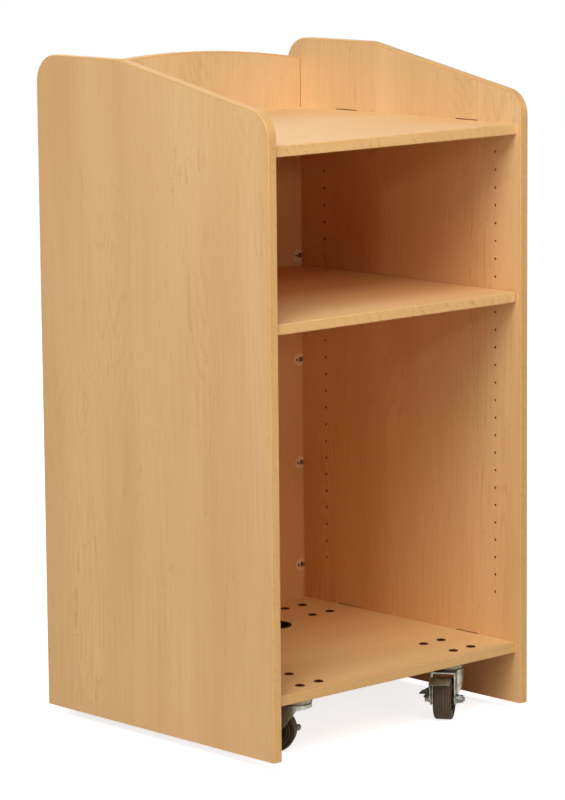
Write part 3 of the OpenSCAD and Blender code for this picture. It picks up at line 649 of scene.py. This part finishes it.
# Ribs and ring on the wheel's web
RIBS = 6
RIB_WIDE = 0.0022
RIB_HIGH = 0.0028
RIB_SUNK = 0.0004
RIB_GAP = 0.0048
WEB_RING_SECTION = ((0.0166, -0.0002), (0.0184, -0.0002), (0.0181, 0.0022), (0.0175, 0.0026),
                    (0.0169, 0.0022))

# Rings on the wheel's sides: radius, width at the foot and at the top, how far sunk and how high
HUB_RING_RADII = (HUB_R + 0.0009, HUB_R - 0.0042)
HUB_RING = (0.0014, 0.0008, 0.0001, 0.0004)
TYRE_RING_R = 0.0318
TYRE_RING = (0.0012, 0.0006, 0.00005, 0.00035)

# Parting line round the tread: half its width, how far sunk at its edges and middle, and how high
SEAM_HALF = 0.0003
SEAM_SUNK = 0.00003
SEAM_ROOT = 0.00043
SEAM_HIGH = 0.00005

# Threads: radius, depth and pitch, how long, and how far proud of the end
AXLE_THREAD = (0.00425, 0.0004, 0.00125)
AXLE_THREAD_LONG = 0.003
BOLT_THREAD = (0.00335, 0.0003, 0.001)
BOLT_THREAD_LONG = 0.0016
THREAD_PROUD = 0.0001

# Low crown on a caster bolt's head: the radius and height of each point of its section
CROWN_SECTION = ((0.0027, -0.0005), (0.0086, -0.0005), (0.0086, 0.0006), (0.0072, 0.0014),
                 (0.0046, 0.0018), (0.0027, 0.0017))


def grid_faces(rows, cols, rows_closed=False, cols_closed=False):
    """Quads between neighbours in a rows x cols grid, wrapped round where a direction is closed."""
    i = np.arange(rows if rows_closed else rows - 1)[:, None]
    j = np.arange(cols if cols_closed else cols - 1)[None, :]
    here, below = i * cols, (i + 1) % rows * cols
    beside = (j + 1) % cols
    return np.stack([here + j, here + beside, below + beside, below + j], axis=-1).reshape(-1, 4)


def lathe(section, steps):
    """A closed section of (radius, height) points turned round Z: (r cos a, r sin a, h)."""
    r, h = np.array(section).T
    a = np.arange(steps)[:, None] * 2 * math.pi / steps
    points = np.stack([r * np.cos(a), r * np.sin(a), h + 0 * a], axis=-1)
    return points.reshape(-1, 3), grid_faces(steps, len(r), True, True)


def ring(r, level, side, steps, foot, top, sunk, high):
    """A ring round Z with sloped sides. It stands at a level on one side, 1 or -1, and narrows upwards."""
    low, crest = side * (level - sunk), side * (level + high)
    section = [(r - foot / 2, low), (r + foot / 2, low), (r + top / 2, crest), (r - top / 2, crest)]
    return lathe(section, steps)


def thread(radius, depth, pitch, low, high, steps):
    """A screw thread round Z, closed by a flat at each end.

    At the angle a and the height z its radius is radius - depth |2 frac(z / pitch - a / turn) - 1|.
    """
    z = np.linspace(low, high, int(round((high - low) / pitch * PITCH_STEPS)) + 1)
    z = np.concatenate([[low], z, [high]])[:, None]
    a = np.arange(steps)[None, :] * 2 * math.pi / steps
    r = radius - depth * np.abs(2 * np.mod(z / pitch - a / (2 * math.pi), 1.0) - 1)
    r = np.where((z < low + pitch / 2) | (z > high - pitch / 2), radius - depth, r)
    r[[0, -1]] = 0.0
    points = np.stack([r * np.cos(a), r * np.sin(a), z + 0 * a], axis=-1)
    return points.reshape(-1, 3), grid_faces(len(z), steps, cols_closed=True)


def rib(x0, x1, width, z0, z1):
    """A bar along X, closed at its ends. Its section is |2 y / width|^4 + |2 z / height|^4 = 1."""
    a = np.arange(RIB_STEPS) * 2 * math.pi / RIB_STEPS
    c, s = np.cos(a), np.sin(a)
    y = width / 2 * np.sign(c) * np.sqrt(np.abs(c))
    z = (z1 - z0) / 2 * np.sign(s) * np.sqrt(np.abs(s))
    x = np.array([x0, x0, x1, x1])[:, None]
    grow = np.array([0.0, 1.0, 1.0, 0.0])[:, None]
    points = np.stack([x + 0 * y, y * grow, (z0 + z1) / 2 + z * grow], axis=-1)
    return points.reshape(-1, 3), grid_faces(4, RIB_STEPS, cols_closed=True)


def placed(shape, matrix):
    """A shape's points moved and turned by a matrix."""
    points, faces = shape
    m = np.array(matrix)
    return points @ m[:3, :3].T + m[:3, 3], faces


def fitting(name, shapes, matrix, material, body):
    """One piece from several closed shapes, placed by the matrix: doubles merged, faces turned out."""
    starts = np.cumsum([0] + [len(points) for points, _ in shapes[:-1]])
    points = np.concatenate([points for points, _ in shapes])
    faces = np.concatenate([faces + start for (_, faces), start in zip(shapes, starts)])
    points, faces = placed((points, faces), matrix)
    mesh = bpy.data.meshes.new(name)
    mesh.from_pydata(points.tolist(), [], faces.tolist())
    work = bmesh.new()
    work.from_mesh(mesh)
    bmesh.ops.remove_doubles(work, verts=work.verts, dist=DOUBLES)
    bmesh.ops.recalc_face_normals(work, faces=work.faces)
    work.to_mesh(mesh)
    work.free()
    mesh.materials.append(material)
    mesh.polygons.foreach_set("use_smooth", np.ones(len(mesh.polygons), dtype=bool))
    mesh.set_sharp_from_angle(angle=math.radians(SMOOTH_ANGLE))
    piece = bpy.data.objects.new(name, mesh)
    bpy.context.collection.objects.link(piece)
    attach(piece, body)


def axle_frame(corner):
    """The wheel's centre as origin, Z along the axle towards its nut, X away from the swivel, Y down."""
    joint = JOINTS["wheel_spin_" + corner]
    z = Vector(joint["axis"]).normalized()
    y = Vector((0.0, 0.0, -1.0))
    turn = Matrix((y.cross(z), y, z)).transposed().to_4x4()
    return Matrix.Translation(joint["pos_m"]) @ turn


def web_ribs():
    """Six ribs and a ring on each face of the wheel's web."""
    bar = rib(SLEEVE_R + RIB_GAP, HUB_R - RIB_GAP, RIB_WIDE, WEB_SIDE - RIB_SUNK, WEB_SIDE + RIB_HIGH)
    turns = [math.radians((k + 0.5) * 360.0 / RIBS) for k in range(RIBS)]
    face = [placed(bar, Matrix.Rotation(turn, 4, "Z")) for turn in turns]
    face.append(lathe([(r, WEB_SIDE + h) for r, h in WEB_RING_SECTION], WEB_STEPS))
    return face + [placed(shape, Matrix.Rotation(math.pi, 4, "X")) for shape in face]


def rim_rings():
    """Two low rings on each side of the wheel: one inside the tyre's wall and one on the hub's rim."""
    spots = list(zip(HUB_RING_RADII, (TYRE_SIDE, RIM_SIDE)))
    return [ring(r, level, side, RING_STEPS, *HUB_RING) for side in (1, -1) for r, level in spots]


def tyre_rings():
    """A raised ring moulded in each sidewall, and the fine parting line round the tread."""
    edge = WHEEL_R - SEAM_SUNK
    seam = [(edge, -SEAM_HALF), (WHEEL_R + SEAM_HIGH, 0.0), (edge, SEAM_HALF), (WHEEL_R - SEAM_ROOT, 0.0)]
    rings = [ring(TYRE_RING_R, TYRE_SIDE, side, TYRE_STEPS, *TYRE_RING) for side in (1, -1)]
    return rings + [lathe(seam, TYRE_STEPS)]


axle_thread = thread(*AXLE_THREAD, AXLE_END - AXLE_THREAD_LONG, AXLE_END + THREAD_PROUD, AXLE_STEPS)
for corner in CORNERS:
    place = axle_frame(corner)
    wheel = "wheel_" + corner
    fitting("hub_ribs_" + corner, web_ribs(), place, hub_grey, wheel)
    fitting("rim_rings_" + corner, rim_rings(), place, ring_brown, wheel)
    fitting("tyre_rings_" + corner, tyre_rings(), place, LOOK["tyre_" + corner], wheel)
    fitting("axle_thread_" + corner, [axle_thread], place, nut_zinc, "fork_" + corner)

swivels = [JOINTS["swivel_" + corner]["pos_m"] for corner in CORNERS]
bolt_places = [
    (x + sx * BOLT_X / 2, y + sy * BOLT_Y / 2) for x, y, _ in swivels for sx in (-1, 1) for sy in (-1, 1)
]
bolt_thread = thread(*BOLT_THREAD, CASTER_BOLT_END - THREAD_PROUD, CASTER_BOLT_END + BOLT_THREAD_LONG,
                     BOLT_STEPS)
crown = lathe(CROWN_SECTION, CROWN_STEPS)
for name, shape, level in (
    ("caster_bolt_threads", bolt_thread, 0.0),
    ("caster_bolt_crowns", crown, BOTTOM_FACE),
):
    shapes = [placed(shape, Matrix.Translation((x, y, level))) for x, y in bolt_places]
    fitting(name, shapes, Matrix.Identity(4), bronze, "cabinet")


# Stage, lights and camera

SKY_STRENGTH = 0.0
WHITE = (1.0, 1.0, 1.0, 1.0)
FLOOR_GREY = 0.78
FLOOR_GLOW = 0.80
FLOOR_HALF = 60.0
GLOW_FROM_TO = (0.8, 3.5)
LIGHT_TARGET = Vector((0.0, 0.0, 0.65))

# Name, azimuth and elevation in degrees, distance and size in metres, and power in watts.
# Azimuth 0 is in front of the open side, and 90 on the left
LAMPS = (
    ("key_hard", 57.7, 14.0, 5.0, 0.25, 13.0),
    ("key_front", 0.0, 14.7, 5.0, 0.3, 15.2),
    ("key_left", 57.0, 20.0, 4.5, 2.0, 11.0),
    ("soft_front", 10.0, 45.0, 4.5, 2.2, 55.0),
    ("soft_left", 60.0, 50.0, 4.5, 2.4, 155.0),
    ("soft_right", -35.0, 30.0, 4.5, 2.2, 5.6),
    ("fill_back", -162.0, 35.0, 4.5, 2.4, 62.0),
)

# The photograph's camera, worked out from the two rows of shelf holes at 32 mm: its place in metres,
# the way it looks in degrees, and its focal length in pixels of a frame 800 pixels high
CAMERA_PLACE = (-4.4699, -4.84426, 1.63991)
CAMERA_AZIMUTH = 42.6629
CAMERA_PITCH = 9.204
CAMERA_ROLL = 0.5244
FOCAL_PIXELS = 3724.2
FRAME_PIXELS = 800
SENSOR_MM = 36.0
CLIP_END = 200.0


def seen_directly(g):
    """1 for the camera's rays and for reflected or refracted ones, and 0 for those that light surfaces."""
    rays = g.put("ShaderNodeLightPath").outputs
    direct = g.plus(rays["Is Camera Ray"], rays["Is Glossy Ray"])
    return g.math("ADD", direct, rays["Is Transmission Ray"], clamp=True)


def make_world():
    """A white background that gives no light of its own."""
    world = bpy.data.worlds.new("studio")
    g = emptied(world)
    sky = g.put("ShaderNodeBackground", {"Color": WHITE, "Strength": SKY_STRENGTH})
    white = g.put("ShaderNodeBackground", {"Color": WHITE, "Strength": 1.0})
    both = g.put("ShaderNodeMixShader", {0: seen_directly(g), 1: sky.outputs[0], 2: white.outputs[0]})
    g.put("ShaderNodeOutputWorld", {"Surface": both.outputs[0]})
    bpy.context.scene.world = world


def make_floor():
    """A white floor. Its glow grows with distance, and doesn't light the object."""
    material = bpy.data.materials.new("floor_white")
    g = emptied(material)
    matt = g.put("ShaderNodeBsdfDiffuse", {"Color": (FLOOR_GREY, FLOOR_GREY, FLOOR_GREY, 1.0)})
    away = g.vector_math("LENGTH", g.where("Object"))
    strength = g.mapped(away, *GLOW_FROM_TO, FLOOR_GLOW, 1.0)
    glow = g.put("ShaderNodeEmission", {"Color": WHITE, "Strength": strength})
    shown = g.put("ShaderNodeAddShader", {0: matt.outputs[0], 1: glow.outputs[0]})
    both = g.put("ShaderNodeMixShader", {0: seen_directly(g), 1: matt.outputs[0], 2: shown.outputs[0]})
    g.put("ShaderNodeOutputMaterial", {"Surface": both.outputs[0]})
    mesh = bpy.data.meshes.new("floor")
    r = FLOOR_HALF
    mesh.from_pydata([(-r, -r, 0), (r, -r, 0), (r, r, 0), (-r, r, 0)], [], [[0, 1, 2, 3]])
    mesh.materials.append(material)
    floor = bpy.data.objects.new("floor", mesh)
    bpy.context.collection.objects.link(floor)


def area_light(name, azimuth, elevation, distance, size, power):
    """A square white light that faces the middle of the cabinet."""
    a, e = math.radians(azimuth), math.radians(elevation)
    away = Vector((-math.sin(a) * math.cos(e), -math.cos(a) * math.cos(e), math.sin(e)))
    data = bpy.data.lights.new(name, "AREA")
    data.shape = "SQUARE"
    data.size = size
    data.energy = power
    light = bpy.data.objects.new(name, data)
    light.location = LIGHT_TARGET + away * distance
    light.rotation_euler = (-away).to_track_quat("-Z", "Y").to_euler()
    bpy.context.collection.objects.link(light)


def make_camera():
    """The camera: its axes from azimuth and pitch, turned by its roll about the way it looks."""
    azimuth, pitch, roll = (math.radians(v) for v in (CAMERA_AZIMUTH, CAMERA_PITCH, CAMERA_ROLL))
    level = Vector((math.sin(azimuth), math.cos(azimuth), 0.0))
    ahead = level * math.cos(pitch) - Vector((0.0, 0.0, math.sin(pitch)))
    right = Vector((math.cos(azimuth), -math.sin(azimuth), 0.0))
    down = ahead.cross(right)
    image_x = right * math.cos(roll) + down * math.sin(roll)
    image_up = right * math.sin(roll) - down * math.cos(roll)
    data = bpy.data.cameras.new("camera")
    data.sensor_fit = "VERTICAL"
    data.sensor_height = SENSOR_MM
    data.lens = FOCAL_PIXELS / FRAME_PIXELS * SENSOR_MM
    data.clip_end = CLIP_END
    camera = bpy.data.objects.new("camera", data)
    turn = Matrix((image_x, image_up, -ahead)).transposed().to_4x4()
    camera.matrix_world = Matrix.Translation(CAMERA_PLACE) @ turn
    bpy.context.collection.objects.link(camera)
    bpy.context.scene.camera = camera


make_world()
make_floor()
for lamp in LAMPS:
    area_light(*lamp)
make_camera()
bpy.context.scene.view_settings.view_transform = "Standard"
